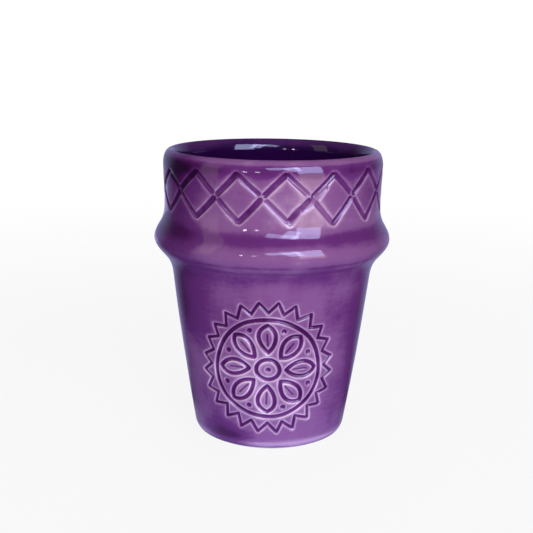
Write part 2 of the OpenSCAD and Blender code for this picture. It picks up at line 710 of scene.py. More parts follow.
@dataclass
class LozengeBand:
    """The band of crossing cuts round the collar.

    The cuts that rise to the right are deep and the others are shallow. All stop short of the
    crossing, which stands as a small pale knot. Beside one crossing, counted from the first, the
    blade leaned over and scraped a shallow facet. Its line is given from that crossing.
    """

    count: int = 15
    middle_z: float = 92.9
    reach_up: float = 7.8
    reach_down: float = 8.1
    first_crossing: float = -5.2
    deep_gap: float = 1.1
    soft_gap: float = 1.85
    tip_gap: float = 0.6
    points: int = 14
    strays: tuple[Stray, ...] = (
        Stray(48, 22, 0.1, 0.45),
        Stray(-67, 13, -0.17, 0.7),
        Stray(110, 30, -0.06, -0.4),
        Stray(-150, 35, 0.07, 0.3),
    )
    scraped_crossing: int = 1
    scrape: tuple[tuple[float, float], ...] = ((-7.3, -8.0), (-4.9, -4.6), (0.2, -1.3), (4.6, 3.5))

    def draw(self, rows: RowMaker, surface: CupSurface) -> Drawing:
        """Draw the band flat, as long as the collar is round.

        Args:
            rows: The maker of rows.
            surface: The cup's surface.

        Returns:
            The band's lines.
        """
        radius = float(surface.radius(self.middle_z))
        pitch = FULL_TURN * radius / self.count
        start = radius * math.radians(self.first_crossing) - pitch / 2
        path = np.array([[start, self.middle_z], [start + self.count * pitch, self.middle_z]])
        drawing = Drawing()
        for tool, gap, side in ((Tool.BAND, self.deep_gap, 1), (Tool.SOFT_BAND, self.soft_gap, -1)):
            upper = self._arm(side * pitch / 2, self.reach_up, gap)
            lower = self._arm(-side * pitch / 2, -self.reach_down, gap)
            for line in rows.repeat([upper, lower], path, self.count):
                drawing.add(tool, line)
        middle = (start + (self.scraped_crossing + 0.5) * pitch, self.middle_z)
        drawing.add(Tool.SCRAPE, resample(np.array(self.scrape), self.points) + middle)
        for line in drawing.every():
            self._stray(line, radius)
            # The collar's circumference is taken at the band's middle, so the drawing closes there
            line[:, 0] *= surface.radius(line[:, 1]) / radius
        return drawing

    def _stray(self, line: np.ndarray, radius: float) -> None:
        """Stretch and drop a cut where the hand strayed.

        Args:
            line: The cut's flat line, which is changed.
            radius: The collar's radius at the band's middle.
        """
        angle = np.degrees(line[:, 0] / radius)
        for stray in self.strays:
            away = (angle - stray.angle + 180) % 360 - 180
            share = np.exp(-(away / stray.spread) ** 2)
            line[:, 1] += share * ((line[:, 1] - self.middle_z) * stray.taller - stray.lower)

    def _arm(self, across: float, up: float, gap: float) -> np.ndarray:
        """Draw one cut from near a crossing to near a lozenge's tip.

        Args:
            across: How far the tip lies from the crossing, across.
            up: How far the tip lies from the crossing, up.
            gap: How far from the crossing the cut starts.

        Returns:
            The cut's flat line.
        """
        length = math.hypot(across, up)
        share = np.linspace(gap / length, 1 - self.tip_gap / length, self.points)
        return np.column_stack([across * share, up * share])


@dataclass
class PetalRosette:
    """The rosette on the front: petals round a disc, a ring, and a border of rays with dots.

    A petal's root and crown are the handles of its side, in half widths and half lengths, and
    its vein reaches between two shares of its half length.
    """

    middle: tuple[float, float] = (-1.1, 32.6)
    disc_r: float = 3.9
    petal_count: int = 8
    petal_middle_r: float = 11.5
    petal_half_l: float = 5.1
    petal_half_w: float = 2.9
    petal_root: tuple[float, float] = (1.05, -0.5)
    petal_crown: tuple[float, float] = (1.6, 0.55)
    vein_shares: tuple[float, float] = (-0.5, 0.35)
    seed_r: float = 15.5
    ring_r: float = 18.5
    ray_count: int = 24
    ray_foot_r: float = 20.7
    ray_length: float = 3.8
    dot_length: float = 0.12
    circle_steps: int = 144
    petal_steps: int = 16
    vein_steps: int = 6
    ray_steps: int = 12

    def draw(self, rows: RowMaker) -> Drawing:
        """Draw the rosette flat.

        Args:
            rows: The maker of rows.

        Returns:
            The rosette's lines.
        """
        drawing = Drawing()
        drawing.add(Tool.LINE, self._circle(self.disc_r))
        drawing.add(Tool.LINE, self._circle(self.ring_r))
        dot = np.array([[-self.dot_length / 2, 0.0], [self.dot_length / 2, 0.0]])
        drawing.add(Tool.BALL, dot)
        vein = np.array([[0.0, self.petal_half_l * share] for share in self.vein_shares])
        half = math.pi * self.ray_foot_r / self.ray_count
        ray = np.array([[-half, 0.0], [0.0, self.ray_length], [half, 0.0]])
        # Petals and veins stand half a step past the top, and seeds and rays on it
        rings = [
            (Tool.LINE, self._petal(), self.petal_middle_r, self.petal_count, 0.5),
            (Tool.NEEDLE, resample(vein, self.vein_steps), self.petal_middle_r, self.petal_count, 0.5),
            (Tool.BALL, dot, self.seed_r, self.petal_count, 0.0),
            (Tool.RAY, resample(ray, self.ray_steps), self.ray_foot_r, self.ray_count, 0.0),
        ]
        for tool, motif, radius, count, shift in rings:
            for line in rows.repeat([motif], self._circle(radius, shift / count), count):
                drawing.add(tool, line)
        for line in drawing.every():
            line += self.middle
        return drawing

    def _circle(self, radius: float, turn_share: float = 0.0) -> np.ndarray:
        """A circle as a closed line, clockwise from the top or from a share of the turn before it."""
        angle = FULL_TURN * (np.linspace(0, 1, self.circle_steps + 1) - turn_share)
        return radius * np.column_stack([np.sin(angle), np.cos(angle)])

    def _petal(self) -> np.ndarray:
        """Draw a petal's outline, pointed at both ends and widest beyond its middle.

        Returns:
            A closed line.
        """
        shares = np.array([(0, -1), self.petal_root, self.petal_crown, (0, 1)])
        side = bezier(shares * (self.petal_half_w, self.petal_half_l), self.petal_steps)
        return np.vstack([side, (side * (-1, 1))[-2::-1]])


@dataclass(frozen=True)
class HandWobble:
    """The small drift of a hand that draws a line in damp clay.

    Across and up the cup, it is the sum of a long wave and a short one. Each wave is given by
    its turns across, its turns up, both in one wave length, and its phase in radians.
    """

    reach: float = 0.42
    wave: float = 9.0
    long_waves: tuple[Triple, Triple] = ((0.7, 2.1, 0.0), (1.9, 0.5, 2.0))
    short_waves: tuple[Triple, Triple] = ((3.9, 0.0, 1.3), (0.0, 4.3, 0.4))
    short_share: float = 0.6

    def __call__(self, line: np.ndarray) -> np.ndarray:
        """Shift a flat line's points a little, alike for points that lie close together.

        Args:
            line: The line.

        Returns:
            The shifted line.
        """
        u, z = line[:, 0] / self.wave, line[:, 1] / self.wave

        def height(across: float, up: float, phase: float) -> np.ndarray:
            """Height of one wave at each point of the line."""
            return np.sin(up * z + across * u + phase)

        shifts = [
            height(*slow) + self.short_share * height(*quick)
            for slow, quick in zip(self.long_waves, self.short_waves)
        ]
        return line + self.reach / (1 + self.short_share) * np.column_stack(shifts)


def lay_on_cup(
    drawings: Sequence[Drawing], surface: CupSurface, wobble: HandWobble
) -> dict[Tool, bpy.types.Object]:
    """Wrap flat drawings round the cup, one object of lines for each tool.

    Args:
        drawings: The flat drawings.
        surface: The cup's surface.
        wobble: The drift that each line gets.

    Returns:
        Tool to construction object.
    """
    made = {}
    for tool in Tool:
        drawn = [wobble(line) for drawing in drawings for line in drawing.lines.get(tool, [])]
        wrapped = [surface.wrap(line[:, 0], line[:, 1]) for line in drawn]
        made[tool] = polyline_object(f"strokes_{tool.name.lower()}", wrapped)
    return made


class CoatLattice:
    """A lattice over the outside coat that is fine along the cuts and coarse elsewhere."""

    FINE = 0.26
    FINE_COLUMNS = 864
    COARSE = 4
    # A cell of this many fine steps is split where a cut runs closer than this
    SPLIT_WITHIN = {4: 2.7, 2: 1.45}

    def __init__(self, skin: np.ndarray, strokes: Iterable[bpy.types.Object]) -> None:
        """Space the rows and gather the strokes' points.

        Args:
            skin: Profile of the coat from its lower end to its upper end.
            strokes: Objects of lines that the cuts follow.
        """
        self.row_count = self.COARSE * round(along(skin)[-1] / self.FINE / self.COARSE)
        self.rows = resample(skin, self.row_count)
        points = [v.co.copy() for item in strokes for v in item.data.vertices]
        self.near = kdtree.KDTree(len(points))
        for i, point in enumerate(points):
            self.near.insert(point, i)
        self.near.balance()
        self.numbers: dict[tuple[int, int], int] = {}
        self.points: list[Point] = []

    def place(self, row: float, column: float) -> Point:
        """Find the point of the coat at a row and a column, which may lie between two.

        Args:
            row: The row, counted from the foot.
            column: The column, counted from the back.

        Returns:
            The point.
        """
        low = min(int(row), self.row_count - 1)
        share = row - low
        radius, height = self.rows[low] * (1 - share) + self.rows[low + 1] * share
        return on_turn(radius, FULL_TURN * column / self.FINE_COLUMNS + math.pi, height)

    def number(self, row: int, column: int) -> int:
        """Number the vertex at a row and a column, which is made when it is first asked for.

        Args:
            row: The row.
            column: The column, which may be past the last.

        Returns:
            The vertex's number.
        """
        key = (row, column % self.FINE_COLUMNS)
        if key not in self.numbers:
            self.numbers[key] = len(self.points)
            self.points.append(self.place(*key))
        return self.numbers[key]

    def leaves(self) -> list[tuple[int, int, int]]:
        """Split the cells where a cut runs close by.

        Returns:
            Row, column and size of each cell that is left.
        """
        waiting = [
            (row, column, self.COARSE)
            for row in range(0, self.row_count, self.COARSE)
            for column in range(0, self.FINE_COLUMNS, self.COARSE)
        ]
        done = []
        while waiting:
            row, column, size = waiting.pop()
            limit = self.SPLIT_WITHIN.get(size)
            if limit is not None:
                centre = self.place(row + size / 2, column + size / 2)
                gap = self.near.find([c * MM for c in centre])[2] / MM
                if gap < limit:
                    half = size // 2
                    waiting.extend((row + i, column + j, half) for i in (0, half) for j in (0, half))
                    continue
            done.append((row, column, size))
        return done

    def faces(self) -> list[list[int]]:
        """Make the cells' faces.

        Returns:
            Vertices of each face, with every vertex that lies on the cell's rim.
        """
        cells = self.leaves()
        for row, column, size in cells:
            for i in (0, size):
                for j in (0, size):
                    self.number(row + i, column + j)
        made = []
        for row, column, size in cells:
            rim = [(row, column + k) for k in range(size)]
            rim += [(row + k, column + size) for k in range(size)]
            rim += [(row + size, column + size - k) for k in range(size)]
            rim += [(row + size - k, column) for k in range(size)]
            keys = ((i, j % self.FINE_COLUMNS) for i, j in rim)
            made.append([self.numbers[key] for key in keys if key in self.numbers])
        return made

    def end_ring(self, row: int) -> list[int]:
        """Vertices of the first or last row, in order round the cup."""
        keys = ((row, column) for column in range(self.FINE_COLUMNS))
        return [self.numbers[key] for key in keys if key in self.numbers]


# A cut's places, as shares of its half width: where its floor ends, where the dark glaze in it
# begins to fade and where that ends, and where its side meets the surface
CUT_SHARES = (0.15, 0.6, 0.95, 1.2)
# How pale the thin glaze is on the cut's very edge and beside it, and how fast it fades from there
EDGE_PALE, BESIDE_PALE, BESIDE_POWER = 0.55, 0.45, 2.0


def carve_tree(tools: Sequence[Tool]) -> bpy.types.NodeTree:
    """Build the tree that cuts grooves into a coat along lines, and marks pooled and thin glaze.

    Args:
        tools: The tools, each of which gets its own inputs.

    Returns:
        A tree that reads the attribute skin, 1 where the coat may move, and writes the
        attributes pool and halo.
    """
    numbers = ("Waviness", "Wave size", "Seed", "Rim height", "Pale line")
    inputs = {"Coat": "Geometry", **dict.fromkeys(numbers, "Float"), "Glaze": "Material"}
    for tool in tools:
        inputs[f"{tool.label} lines"] = "Object"
        inputs |= {f"{tool.label} {word}": "Float" for word in GOUGE_SIZES + GOUGE_SHARES}
    tree, add, given = new_geometry_tree("Carve the coat", inputs, "Coat")

    marks: dict[str, bpy.types.Node] = {}
    for tool in tools:
        words = [f"{tool.label} {word}" for word in GOUGE_SIZES + GOUGE_SHARES]
        width, depth, halo, pool, pale = [given[name] for name in words]
        lines = add("GeometryNodeObjectInfo", {"Object": given[f"{tool.label} lines"]})
        near = add("GeometryNodeProximity", (lines.outputs["Geometry"],), target_element="EDGES")
        away = near.outputs["Distance"]
        half = add(MATH, (width, 0.5), operation="MULTIPLY")
        floor, inner, rim, beyond = [add(MATH, (half, share), operation="MULTIPLY") for share in CUT_SHARES]
        cover = add(RANGE, (away, inner, rim, 1.0, 0.0), **EASED)
        line_end = add(MATH, (half, given["Pale line"]), operation="ADD")
        edge = add(RANGE, (away, rim, line_end, EDGE_PALE, 0.0), **EASED)
        halo_end = add(MATH, (half, halo), operation="ADD")
        fall = add(RANGE, (away, half, halo_end, 1.0, 0.0), **EASED)
        fade = add(MATH, (fall, BESIDE_POWER), operation="POWER")
        beside = add(MATH, (fade, BESIDE_PALE, edge), operation="MULTIPLY_ADD")
        found = {
            "cut": add(RANGE, (away, floor, beyond, depth, 0.0), **EASED),
            "cover": cover,
            "pool": add(MATH, (cover, pool), operation="MULTIPLY"),
            "halo": add(MATH, (beside, pale), operation="MULTIPLY"),
        }
        for name, mark in found.items():
            marks[name] = add(MATH, (marks[name], mark), operation="MAXIMUM") if name in marks else mark
    bare = add(MATH, (1.0, marks["cover"]), operation="SUBTRACT")
    marks["halo"] = add(MATH, (marks["halo"], bare), operation="MULTIPLY")

    skin = add("GeometryNodeInputNamedAttribute", {"Name": "skin"}, data_type="FLOAT")
    scale = add(MATH, (1.0, given["Wave size"]), operation="DIVIDE")
    noise = add("ShaderNodeTexNoise", {"W": given["Seed"], "Scale": scale, "Detail": 1.0},
                noise_dimensions="4D")
    centred = add(MATH, (noise, 0.5), operation="SUBTRACT")
    wave = add(MATH, (centred, given["Waviness"]), operation="MULTIPLY")
    raised = add(MATH, (marks["halo"], given["Rim height"]), operation="MULTIPLY")
    carved = add(MATH, (raised, marks["cut"]), operation="SUBTRACT")
    uneven = add(MATH, (carved, wave), operation="ADD")
    move = add(MATH, (uneven, skin), operation="MULTIPLY")
    normal = add("GeometryNodeInputNormal")
    offset = add("ShaderNodeVectorMath", {0: normal, "Scale": move}, operation="SCALE")
    coat = given["Coat"]
    for name in ("pool", "halo"):
        masked = add(MATH, (marks[name], skin), operation="MULTIPLY")
        coat = add("GeometryNodeStoreNamedAttribute", {"Geometry": coat, "Name": name, "Value": masked},
                   data_type="FLOAT", domain="POINT")
    coat = add("GeometryNodeSetPosition", {"Geometry": coat, "Offset": offset})
    coat = add("GeometryNodeRealizeInstances", {"Geometry": coat})
    coat = add("GeometryNodeSetMaterial", {"Geometry": coat, "Material": given["Glaze"]})
    add("NodeGroupOutput", {"Coat": coat})
    return tree


@dataclass(frozen=True)
class GlazeRun:
    """A patch where the coat ran thick or thin, or where painted shade and light darken or lighten it:
    its middle, its spread and how much it differs.
    """

    angle: float
    height: float
    spread_angle: float
    spread_height: float
    amount: float


@dataclass(frozen=True)
class GlazeFlow:
    """Thickness of the outside coat over the whole cup, from 0, thin and pale, to 1, thick and dark,
    with painted shade and light mixed in.

    Each ring is a height at which the colour differs all the way round, its spread and the amount.
    """

    base: float = 0.5
    runs: tuple[GlazeRun, ...] = (
        # Those that darken the front's left and right and lighten its middle are partly where the coat ran
        # and partly painted shade and light, as the sides turn from the front light
        GlazeRun(-64, 54, 26, 13, 0.24),
        GlazeRun(-33, 4.5, 21, 5.5, 0.3),
        GlazeRun(-58, 99.6, 24, 5.8, 0.38),
        GlazeRun(-60, 82, 22, 9, 0.19),
        GlazeRun(72, 44, 23, 28, 0.25),
        GlazeRun(70, 96, 20, 9, 0.07),
        GlazeRun(42, 83, 20, 4, -0.07),
        GlazeRun(14, 16, 34, 15, -0.12),
        GlazeRun(-2, 36, 20, 14, -0.1),
        GlazeRun(16, 90.5, 28, 11, -0.15),
        GlazeRun(140, 55, 30, 14, 0.2),
        GlazeRun(-140, 40, 26, 22, -0.12),
        GlazeRun(178, 92, 34, 9, 0.14),
        GlazeRun(120, 12, 30, 8, 0.22),
        GlazeRun(-46, 75, 14, 3.5, 0.1),
        GlazeRun(42, 60, 14, 7, -0.07),
        GlazeRun(-25, 5, 12, 3.6, 0.1),
        GlazeRun(-70, 91.5, 14, 5, -0.09),
    )
    rings: tuple[Triple, ...] = (
        # Darker under the ring's crest: painted shade
        (65.5, 3.6, 0.1),
        (73.0, 2.4, -0.05),
        # Darker on the ring's upper slope: painted shade, where that slope mirrors a dark room
        (79.0, 2.2, 0.17),
        (84.0, 2.4, -0.03),
        (93.0, 8.0, 0.05),
        (101.4, 2.2, 0.2),
        # Paler on the lip's top: partly thin glaze over the edge and partly a painted highlight
        (104.2, 0.45, -0.22),
        (3.2, 1.15, -0.25),
        (70.0, 0.5, 0.08),
        (67.7, 0.5, 0.06),
    )

    def thickness(self, points: np.ndarray) -> np.ndarray:
        """Thickness at each point, with painted shade and light mixed in.

        Args:
            points: An array of x, y and z in millimetres.

        Returns:
            One value for each point.
        """
        angle = np.degrees(np.arctan2(points[:, 0], -points[:, 1]))
        height = points[:, 2]
        value = np.full(len(points), self.base)
        for run in self.runs:
            away = (angle - run.angle + 180) % 360 - 180
            value += run.amount * np.exp(
                -(away / run.spread_angle) ** 2 - ((height - run.height) / run.spread_height) ** 2
            )
        for middle, spread, amount in self.rings:
            value += amount * np.exp(-((height - middle) / spread) ** 2)
        return value


@dataclass(frozen=True)
class PooledGlaze:
    """Glossy translucent stoneware glaze, dipped and fired over pale clay.

    The coat is glass with a little milk in it. It breaks pale where it thins over an edge, and
    goes deep purple where it pools in a cut, so its colour follows its thickness, into which
    painted shade and light are mixed. That is mottled by broad clouds, by streaks that ran down,
    by lines left from the turning and by flecks, and what a cut does to it varies along the cut.
    The surface has a faint peel.
    """

    name: str = "pooled_purple_glaze"
    stops: tuple[tuple[float, str], ...] = (
        (0.0, "#d8c1de"),
        (0.22, "#a98bb1"),
        (0.45, "#7d5289"),
        (0.62, "#5e2b6f"),
        (0.82, "#42124f"),
        (1.0, "#270632"),
    )
    roughness: float = 0.06
    ior: float = 1.5
    specular: float = 0.5
    pool_gain: float = 0.36
    halo_gain: float = 0.45
    cloud_mm: float = 24.0
    cloud_gain: float = 0.17
    streak_mm: float = 7.0
    streak_stretch: float = 0.3
    streak_gain: float = 0.05
    line_mm: float = 7.0
    line_stretch: float = 6.0
    line_gain: float = 0.035
    # The real flecks are too fine to show, so these are coarser
    fleck_mm: float = 1.6
    fleck_gain: float = 0.03
    vary_mm: float = 6.0
    vary_gain: float = 0.9
    peel_mm: float = 2.2
    peel_height: float = 0.02
    rim_fade: float = 0.0
    rim_heights: tuple[float, float] = (99.0, 105.5)
    even: float | None = None

    def material(self) -> bpy.types.Material:
        """Build the material.

        Returns:
            A material that reads the attributes run, pool and halo, or an even thickness.
        """
        made, shader, add = new_material(self.name)
        place = add("ShaderNodeTexCoord").outputs["Object"]

        def mottle(size_mm: float, gain: float, stretch: float = 1.0, detail: float = 2.0) -> bpy.types.Node:
            """Mottle the glaze in patches of a real size, by up to a gain either way.

            Args:
                size_mm: Size of the patches.
                gain: How much they differ.
                stretch: How much flatter they are than wide.
                detail: How much finer mottling they hold.

            Returns:
                A node with the difference at each place.
            """
            flat = add("ShaderNodeMapping", {"Vector": place, "Scale": (1, 1, stretch)})
            noise = add("ShaderNodeTexNoise", {"Vector": flat, "Scale": 1 / (size_mm * MM), "Detail": detail})
            centred = add(MATH, (noise, 0.5), operation="SUBTRACT")
            return add(MATH, (centred, 2 * gain), operation="MULTIPLY")

        height = add("ShaderNodeSeparateXYZ", (place,)).outputs["Z"]
        low, high = [limit * MM for limit in self.rim_heights]
        terms = [
            mottle(self.cloud_mm, self.cloud_gain),
            mottle(self.streak_mm, self.streak_gain, self.streak_stretch),
            mottle(self.line_mm, self.line_gain, self.line_stretch),
            mottle(self.fleck_mm, self.fleck_gain),
            # Towards the lip the colour is lighter, partly from less glaze, which ran off before it set, and
            # partly as painted light where the inside is less shaded
            add(RANGE, (height, low, high, 0.0, -self.rim_fade), **EASED),
        ]
        if self.even is None:
            # The run attribute is the coat's thickness with painted shade and light mixed in
            terms.append(add("ShaderNodeAttribute", attribute_name="run").outputs["Fac"])
            for name, gain in (("pool", self.pool_gain), ("halo", -self.halo_gain)):
                varied = add(MATH, (mottle(self.vary_mm, self.vary_gain * abs(gain)), gain), operation="ADD")
                read = add("ShaderNodeAttribute", attribute_name=name)
                terms.append(add(MATH, (read.outputs["Fac"], varied), operation="MULTIPLY"))
        else:
            terms.insert(1, self.even)
        total = terms[0]
        for term in terms[1:]:
            total = add(MATH, (total, term), operation="ADD")
        ramp = add("ShaderNodeValToRGB", {"Fac": total})
        ramp.color_ramp.interpolation = "EASE"
        elements = ramp.color_ramp.elements
        elements.remove(elements[1])
        elements[0].position, elements[0].color = self.stops[0][0], linear(self.stops[0][1])
        for position, colour in self.stops[1:]:
            elements.new(position).color = linear(colour)
        # The peel takes the noise at its full height
        peel = mottle(self.peel_mm, 0.5, detail=1.0)
        bump = add("ShaderNodeBump", {"Strength": 1.0, "Distance": self.peel_height * MM, "Height": peel})
        fill_inputs(shader, {
            "Base Color": ramp,
            "Normal": bump,
            "Roughness": self.roughness,
            "IOR": self.ior,
            "Specular IOR Level": self.specular,
        })
        return made


# The outside's glaze: dark in the cuts, where it ran thick and in painted shade, milky over edges,
# and as glossy as wet glass
OUTSIDE_GLAZE = PooledGlaze()
# The same glaze poured thick inside: nearly black in its depth, partly from the thick coat and
# partly as painted shade of the cup's inside, and lighter towards the lip, partly as painted light
LINING_GLAZE = PooledGlaze(
    name="deep_purple_lining",
    stops=((0.0, "#7a4a90"), (0.25, "#48235f"), (0.5, "#24063f"), (1.0, "#18022c")),
    even=0.55,
    rim_fade=0.3,
)
# The same glaze in an even coat, a plain mid purple out of the light
RECESS_GLAZE = PooledGlaze(name="foot_recess_glaze", even=0.6)


@dataclass(frozen=True)
class BareClay:
    """Fired clay without glaze, wiped clean on the foot.

    It is matt and slightly gritty, pale with warm clouds and with dark flecks of iron.
    """

    name: str = "bare_fired_clay"
    pale: str = "#d8cbc3"
    warm: str = "#b79d92"
    fleck: str = "#7d6055"
    cloud_mm: float = 9.0
    cloud_detail: float = 4.0
    # The real grit is too fine to show, so this is coarser
    grit_mm: float = 0.7
    grit_detail: float = 2.0
    fleck_levels: tuple[float, float] = (0.66, 0.74)
    bump_strength: float = 0.6
    bump_height: float = 0.06
    roughness: float = 0.75

    def material(self) -> bpy.types.Material:
        """Build the material.

        Returns:
            The material.
        """
        made, shader, add = new_material(self.name)
        place = add("ShaderNodeTexCoord").outputs["Object"]
        cloud, grit = [
            add("ShaderNodeTexNoise", {"Vector": place, "Scale": 1 / (size * MM), "Detail": detail})
            for size, detail in ((self.cloud_mm, self.cloud_detail), (self.grit_mm, self.grit_detail))
        ]
        ground = add(MIX, {0: cloud, 6: linear(self.pale), 7: linear(self.warm)}, **COLOURS)
        spots = add(RANGE, (grit, *self.fleck_levels))
        flecked = add(MIX, {0: spots, 6: ground, 7: linear(self.fleck)}, **COLOURS)
        bump = add("ShaderNodeBump", {
            "Strength": self.bump_strength, "Distance": self.bump_height * MM, "Height": grit})
        fill_inputs(shader, {"Base Color": flecked, "Normal": bump, "Roughness": self.roughness})
        return made


def turned(name: str, outline: np.ndarray, columns: int) -> bpy.types.Object:
    """Turn a closed outline round the axis.

    Args:
        name: Name of the object.
        outline: Radius and height of each point, anticlockwise, with points on the axis only
            next to each other.
        columns: Steps of the full turn.

    Returns:
        A closed mesh with its faces outward.
    """
    points: list[Point] = []
    rings: list[list[int]] = []
    for radius, height in outline:
        first = len(points)
        if radius < ON_AXIS:
            points.append((0.0, 0.0, height))
            rings.append([first] * columns)
            continue
        points.extend(on_turn(radius, FULL_TURN * column / columns, height) for column in range(columns))
        rings.append(list(range(first, first + columns)))
    faces = []
    for low, high in zip(rings, rings[1:] + rings[:1]):
        for j in range(columns):
            k = (j + 1) % columns
            face = list(dict.fromkeys([low[j], low[k], high[k], high[j]]))
            if len(face) > 2:
                faces.append(face)
    return mesh_object(name, np.array(points), faces=faces)


def finish_piece(
    piece: bpy.types.Object, node: str, material: bpy.types.Material | None
) -> None:
    """Smooth a piece, dress it, and let it stand for its node.

    Args:
        piece: The piece.
        node: The node that it stands for.
        material: Its material, or None if the mesh has it already.
    """
    if material is not None:
        piece.data.materials.clear()
        piece.data.materials.append(material)
    piece.data.shade_smooth()
    piece.data.set_sharp_from_angle(angle=math.radians(CREASE))
    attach(piece, BODY)
    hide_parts(node)
    triangles = sum(face.loop_total - 2 for face in piece.data.polygons)
    log.info("%s: %d triangles, stands for %s", piece.name, triangles, node)


@dataclass
class OutsideCoat:
    """The coat outside, with the cuts under it.

    Its skin sways a little, as a hand-turned one does, and keeps still towards both ends.
    """

    form: CupForm
    flow: GlazeFlow = GlazeFlow()
    back: float = 1.2
    back_rows: int = 60
    waviness: float = 0.22
    wave_size: float = 15.0
    seed: float = 4.0
    rim_height: float = 0.1
    pale_line: float = 0.5
    still_end: float = 2.5

    def build(self, strokes: Mapping[Tool, bpy.types.Object], glaze: PooledGlaze) -> bpy.types.Object:
        """Build the coat and cut it.

        Args:
            strokes: The lines that each tool follows.
            glaze: The finish.

        Returns:
            The coat's object.
        """
        lattice = CoatLattice(self.form.glaze_outside(), strokes.values())
        faces = lattice.faces()
        points, back_faces = self._back(lattice)
        place = np.array(points)
        blank = mesh_object("coat_blank", place, faces=faces + back_faces)
        # The run attribute holds the coat's thickness with painted shade and light mixed in
        self._store(blank, "run", self.flow.thickness(place))
        self._store(blank, "skin", self._free_share(place, len(lattice.points)))
        values: dict[str, object] = {
            "Waviness": self.waviness * MM,
            "Wave size": self.wave_size * MM,
            "Seed": self.seed,
            "Rim height": self.rim_height * MM,
            "Pale line": self.pale_line * MM,
            "Glaze": glaze.material(),
        }
        for tool in Tool:
            values[f"{tool.label} lines"] = strokes[tool]
            values |= {f"{tool.label} {word}": getattr(tool.value, word) * MM for word in GOUGE_SIZES}
            values |= {f"{tool.label} {word}": getattr(tool.value, word) for word in GOUGE_SHARES}
        mesh = bake_nodes(blank, carve_tree(list(Tool)), values)
        remove([blank])
        mesh.name = "outside_glaze"
        coat = new_object("outside_glaze", mesh)
        finish_piece(coat, "outer_glaze", None)
        return coat

    def _back(self, lattice: CoatLattice) -> tuple[list[Point], list[list[int]]]:
        """Close the coat behind its skin.

        Args:
            lattice: The lattice of the skin.

        Returns:
            All points, and the faces of the back and of both ends.
        """
        points = list(lattice.points)
        profile = resample(self.form.glaze_outside(), self.back_rows)
        behind = profile - outward(profile) * self.back
        columns = lattice.FINE_COLUMNS // lattice.COARSE
        rings = []
        for radius, height in behind:
            rings.append(list(range(len(points), len(points) + columns)))
            points.extend(on_turn(radius, FULL_TURN * j / columns + math.pi, height) for j in range(columns))
        faces = []
        low, high = lattice.end_ring(0), lattice.end_ring(lattice.row_count)
        for j in range(columns):
            k = (j + 1) % columns
            for a, b in zip(rings, rings[1:]):
                faces.append([a[k], a[j], b[j], b[k]])
            faces.append([low[k], low[j], rings[0][j], rings[0][k]])
            faces.append([high[j], high[k], rings[-1][k], rings[-1][j]])
        return points, faces

    def _free_share(self, points: np.ndarray, skin_count: int) -> np.ndarray:
        """Say how far each point may move: 1 on the skin, less towards its ends, 0 on the back.

        Args:
            points: All points, the skin's first.
            skin_count: How many of them are the skin's.

        Returns:
            One share for each point.
        """
        low, high = points[:skin_count, 2].min(), points[:skin_count, 2].max()
        room = np.minimum(points[:, 2] - low, high - points[:, 2]) / self.still_end
        share = np.clip(room, 0, 1)
        share[skin_count:] = 0
        return share

    @staticmethod
    def _store(item: bpy.types.Object, name: str, values: np.ndarray) -> None:
        """Store one number for each point of a mesh."""
        attribute = item.data.attributes.new(name, "FLOAT", "POINT")
        attribute.data.foreach_set("value", values.astype(np.float32))


@dataclass
class InsideCoat:
    """The lining, from the top of the lip to the middle of the floor."""

    form: CupForm
    back: float = 0.7
    rows: int = 150
    columns: int = 200

    def build(self, glaze: PooledGlaze) -> bpy.types.Object:
        """Build the lining.

        Args:
            glaze: The finish.

        Returns:
            The lining's object.
        """
        skin = resample(self.form.glaze_inside(), self.rows)
        skin[-1, 0] = 0.0
        normal = outward(skin)
        normal[0] = normal[-1] = (0.0, 1.0)
        behind = skin - normal * self.back
        piece = turned("lining_glaze", np.vstack([skin, behind[::-1]]), self.columns)
        finish_piece(piece, "liner_glaze", glaze.material())
        return piece


@dataclass
class RecessCoat:
    """The coat in the recess of the foot, clear of the table.

    Its bend from roof to slope starts a little before its corner and ends at a share of its slope.
    """

    form: CupForm
    thickness: float = 0.3
    reach_share: float = 0.5
    bend_start: float = 1.2
    bend_share: float = 0.8
    bend_steps: int = 10
    columns: int = 160

    def build(self, glaze: PooledGlaze) -> bpy.types.Object:
        """Build the coat.

        Args:
            glaze: The finish.

        Returns:
            The coat's object.
        """
        form, edge = self.form, self.form.recess_edge
        way = np.array([form.recess_slope_w, -form.recess_depth])
        end = edge + way * self.reach_share
        inward = np.array([way[1], -way[0]]) / np.linalg.norm(way)
        turn = math.atan2(form.recess_depth, form.recess_slope_w)
        corner = np.array([edge[0] - self.thickness * math.tan(turn / 2), edge[1] - self.thickness])
        lower = end + inward * self.thickness
        bend_end = corner + (lower - corner) * self.bend_share
        bend = bezier([corner - (self.bend_start, 0), corner, corner, bend_end], self.bend_steps)
        roof = np.array([[0.0, edge[1] - self.thickness]])
        outline = np.vstack([roof, bend, [lower], [end], [edge], [[0.0, edge[1]]]])
        piece = turned("foot_recess_glaze", outline, self.columns)
        finish_piece(piece, "base_glaze", glaze.material())
        return piece


